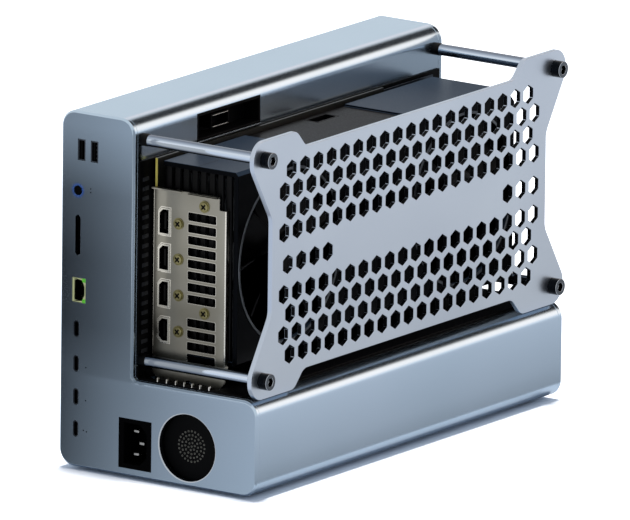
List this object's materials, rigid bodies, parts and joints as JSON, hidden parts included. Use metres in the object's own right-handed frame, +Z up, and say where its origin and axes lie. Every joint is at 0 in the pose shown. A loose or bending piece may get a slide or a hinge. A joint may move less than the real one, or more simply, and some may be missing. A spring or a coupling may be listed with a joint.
{
  "type": "external graphics card enclosure",
  "caption": "L-shaped aluminium enclosure that stands a graphics card in its nook behind a honeycomb panel on rods, with front sockets, a mains inlet and its own power supply.",
  "frame": {"origin": "middle of the whole assembly's footprint, on the surface that it stands on", "axes": "+X from the tall leg towards the honeycomb panel, +Y from the socket face to the back, +Z up"},
  "size_m": [0.146, 0.3242, 0.217],
  "materials": {
    "anodised_body": "fine anodised",
    "anodised_panel": "fine anodised",
    "polished_steel": "polished",
    "black_sheet": "satin black",
    "foot_rubber": "matte",
    "black_plastic": "moulded",
    "port_steel": "plated",
    "jack_housing": "moulded cream",
    "jack_lights": "clear green",
    "contact_brass": "plated",
    "circuit_board": "lacquered",
    "card_board": "bare glass epoxy edge",
    "spacer_brass": "turned",
    "fin_aluminium": "mill finish",
    "bracket_steel": "plated",
    "backplate_metal": "satin grey",
    "shroud_plastic": "moulded black",
    "fan_plastic": "moulded black"
  },
  "bodies": {
    "enclosure": {"body_shell": "anodised_body", "front_plate": "anodised_body", "rear_plate": "anodised_body", "side_panel": "anodised_panel", "panel_rod_front_low": "polished_steel", "panel_rod_front_high": "polished_steel", "panel_rod_rear_low": "polished_steel", "panel_rod_rear_high": "polished_steel", "panel_screws": "polished_steel", "nook_liner": "black_sheet", "psu_case": "black_sheet", "rubber_feet": "foot_rubber", "button_switch": "black_plastic", "memory_card_reader": "black_plastic", "power_inlet": "black_plastic", "power_pocket": "black_plastic", "power_socket": "black_plastic", "flat_port_tongues": "black_plastic", "oval_port_tongues": "black_plastic", "video_port_tongues": "black_plastic", "card_slot": "black_plastic", "card_power_socket": "black_plastic", "psu_fan_frame": "black_plastic", "card_fan_motors": "black_plastic", "flat_port_shells": "port_steel", "oval_port_shells": "port_steel", "video_ports": "port_steel", "network_jack": "jack_housing", "network_jack_lights": "jack_lights", "inlet_pins": "contact_brass", "dock_board": "circuit_board", "slot_board": "circuit_board", "card_board": "card_board", "board_spacers": "spacer_brass", "board_heatsink": "fin_aluminium", "card_heatsink": "fin_aluminium", "card_bracket": "bracket_steel", "card_backplate": "backplate_metal", "card_shroud": "shroud_plastic"},
    "power_button": {"power_button": "black_plastic"},
    "psu_fan": {"psu_fan_rotor": "black_plastic"},
    "card_fan_front": {"card_fan_front": "fan_plastic"},
    "card_fan_rear": {"card_fan_rear": "fan_plastic"}
  },
  "joints": [
    {"name": "power_button_press", "type": "slide", "parent": "enclosure", "child": "power_button", "axis": [0, 1, 0], "range_m": [0, 0.0006], "stiffness_N_per_m": 1500},
    {"name": "psu_fan_spin", "type": "hinge", "parent": "enclosure", "child": "psu_fan", "pos_m": [0.0193, -0.1447, 0.02525], "axis": [0, 1, 0], "continuous": true},
    {"name": "card_fan_front_spin", "type": "hinge", "parent": "enclosure", "child": "card_fan_front", "pos_m": [0.0273, -0.0864, 0.13175], "axis": [1, 0, 0], "continuous": true},
    {"name": "card_fan_rear_spin", "type": "hinge", "parent": "enclosure", "child": "card_fan_rear", "pos_m": [0.0273, 0.0931, 0.13175], "axis": [1, 0, 0], "continuous": true}
  ]
}
